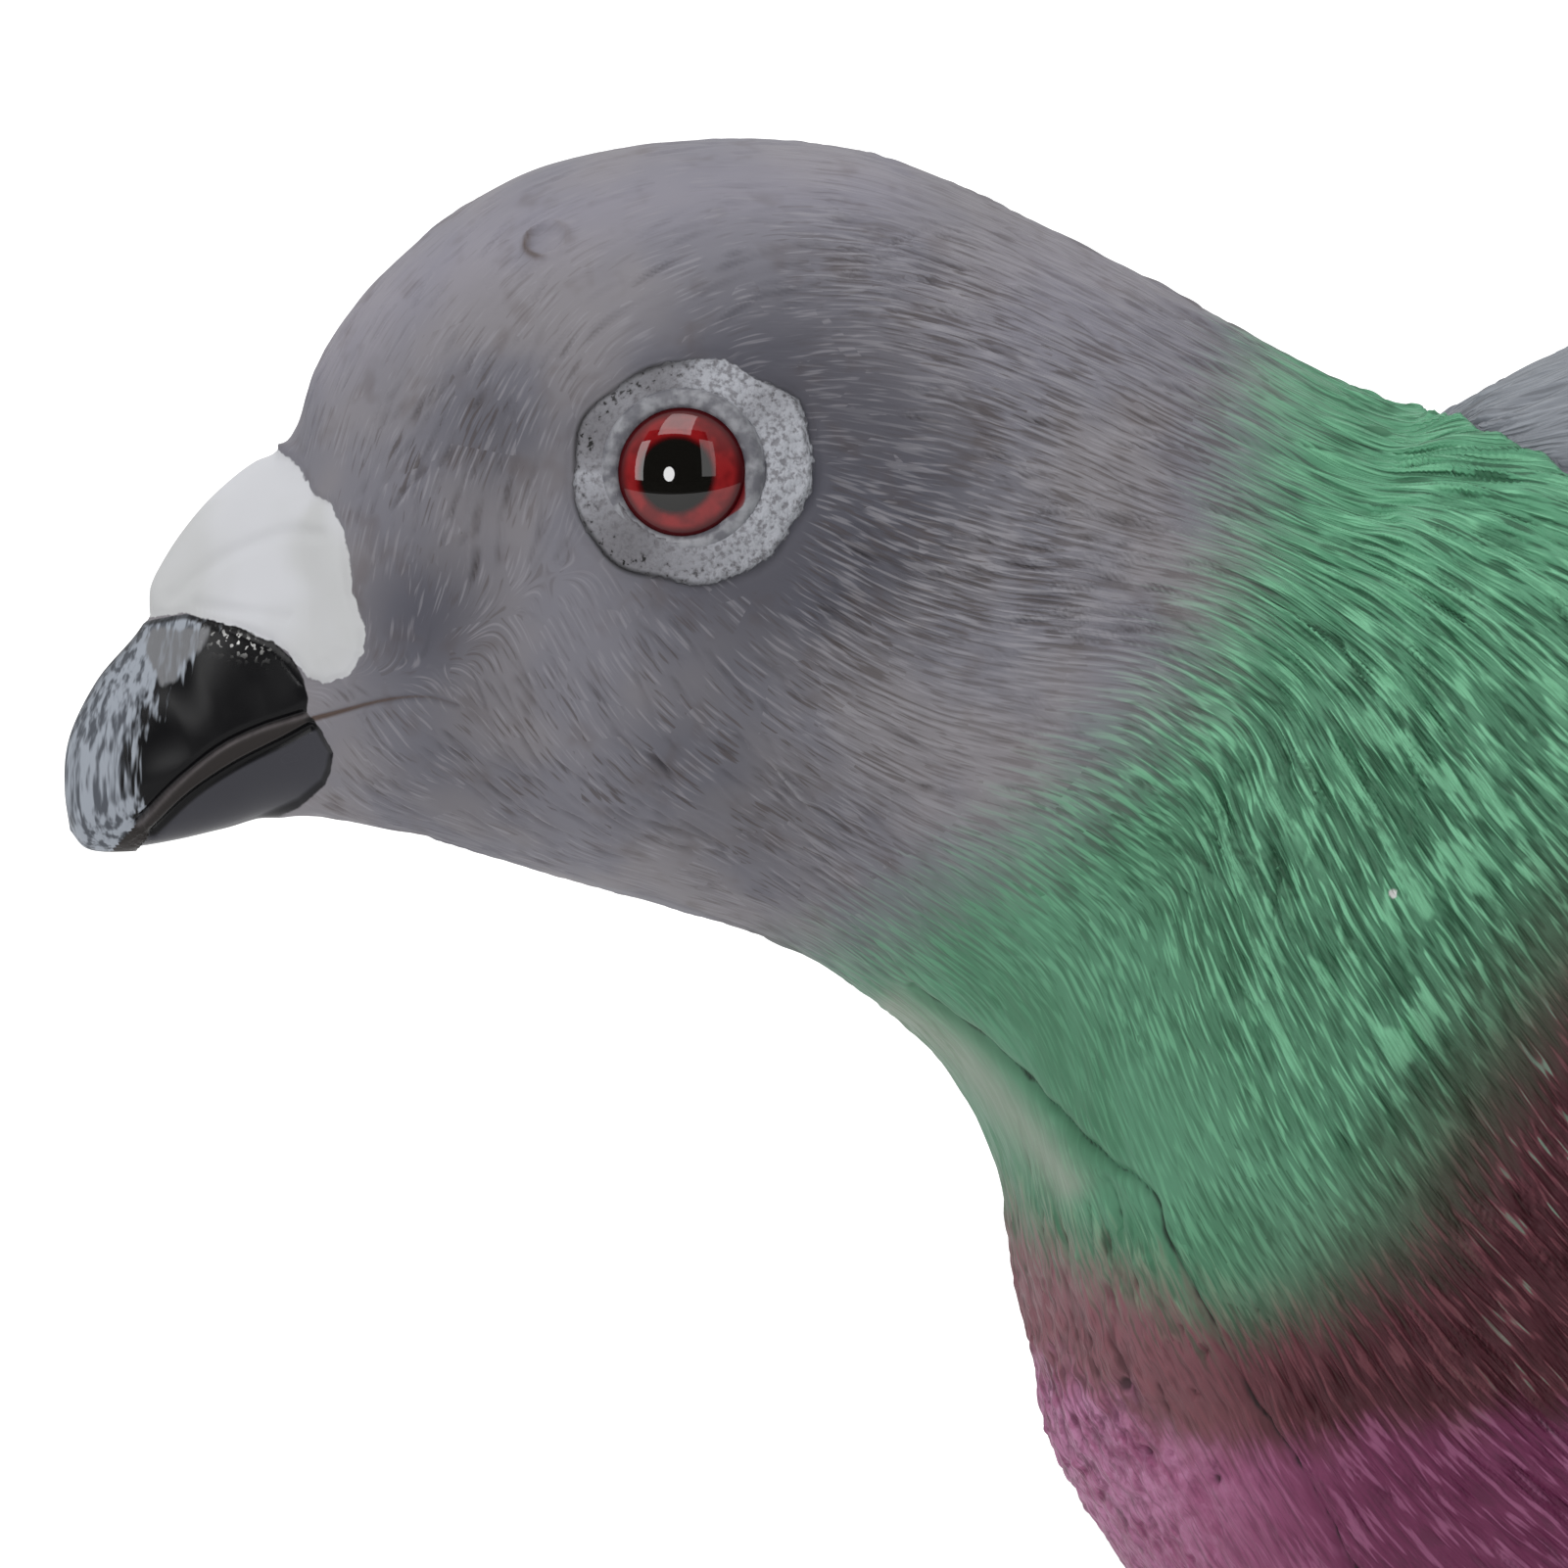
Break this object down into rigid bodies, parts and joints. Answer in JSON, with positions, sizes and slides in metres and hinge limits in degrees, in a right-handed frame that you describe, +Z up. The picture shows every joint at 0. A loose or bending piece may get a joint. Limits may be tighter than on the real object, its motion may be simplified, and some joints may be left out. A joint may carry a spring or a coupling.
{
  "type": "resin pigeon figure",
  "caption": "Cast resin bust of a grey pigeon's head and neck with a green and wine collar, a dark bill, a white cere and inset red eyes; it stands on a flat underside.",
  "frame": {"origin": "centre of the flat underside that the bust stands on", "axes": "+Z up, the bill points along -X, and the bird's left side faces -Y"},
  "size_m": [0.1156, 0.0628, 0.0868],
  "materials": {
    "painted_resin": "cast resin painted in matt slate grey, metallic green and wine red, with a white cere and a semi-gloss black bill",
    "eye_gloss": "glossy clear dome over a red iris and a black pupil"
  },
  "bodies": {
    "root": {"pigeon_bust": "painted_resin", "left_eye": "eye_gloss", "right_eye": "eye_gloss"}
  },
  "joints": []
}
